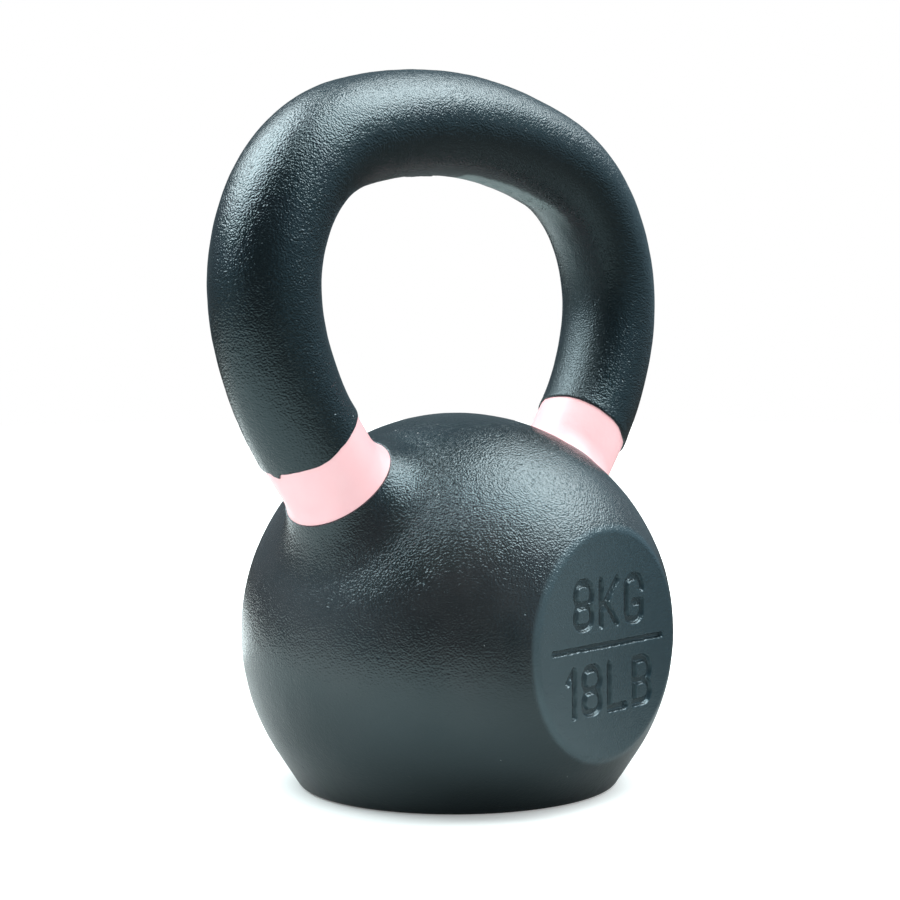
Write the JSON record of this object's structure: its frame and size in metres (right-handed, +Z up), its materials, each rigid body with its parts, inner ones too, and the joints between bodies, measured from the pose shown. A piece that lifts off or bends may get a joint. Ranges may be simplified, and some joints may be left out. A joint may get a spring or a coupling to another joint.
{
  "type": "kettlebell",
  "caption": "Round cast iron kettlebell with a flat front and back face, a bent loop handle, a coloured band on each horn and a sunk weight mark.",
  "frame": {"origin": "middle of the flat base, on the floor", "axes": "+Z up; the handle loop lies in the XZ plane, +X towards the right horn as seen from the front; the face with the weight mark looks along -Y"},
  "size_m": [0.178, 0.107, 0.201],
  "materials": {
    "coated_iron": "textured black powder coat on cast iron",
    "band_pink": "smooth semi-gloss pale pink"
  },
  "bodies": {
    "root": {"bell": "coated_iron", "handle": "coated_iron", "left_colour_band": "band_pink", "right_colour_band": "band_pink"}
  },
  "joints": []
}
